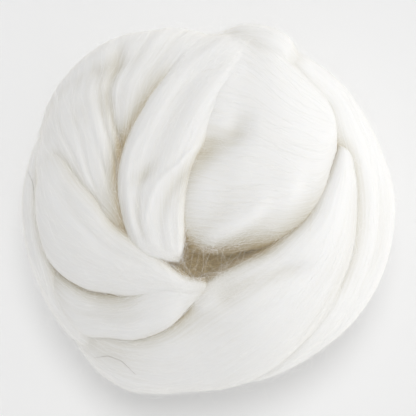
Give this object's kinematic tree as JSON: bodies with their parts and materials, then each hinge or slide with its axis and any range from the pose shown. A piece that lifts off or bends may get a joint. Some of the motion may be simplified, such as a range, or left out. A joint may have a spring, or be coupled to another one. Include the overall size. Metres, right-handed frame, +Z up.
{
  "type": "wool roving",
  "caption": "Soft hand-wound ball of combed white wool roving: broad loose strands cross over each other and tuck into a small hollow near the crown; rests on a small flat spot.",
  "frame": {"origin": "middle of the ball's box, on the surface the ball rests on", "axes": "+Z up from the flat spot through the crown; +Y is towards the far end of the front fold, +X to the right with the strands' hollow nearest the viewer"},
  "size_m": [0.1644, 0.164, 0.1181],
  "materials": {
    "wool": "matt combed wool fibre, natural white, warm tan in the deep creases"
  },
  "bodies": {
    "root": {"wound_roving": "wool"}
  },
  "joints": []
}
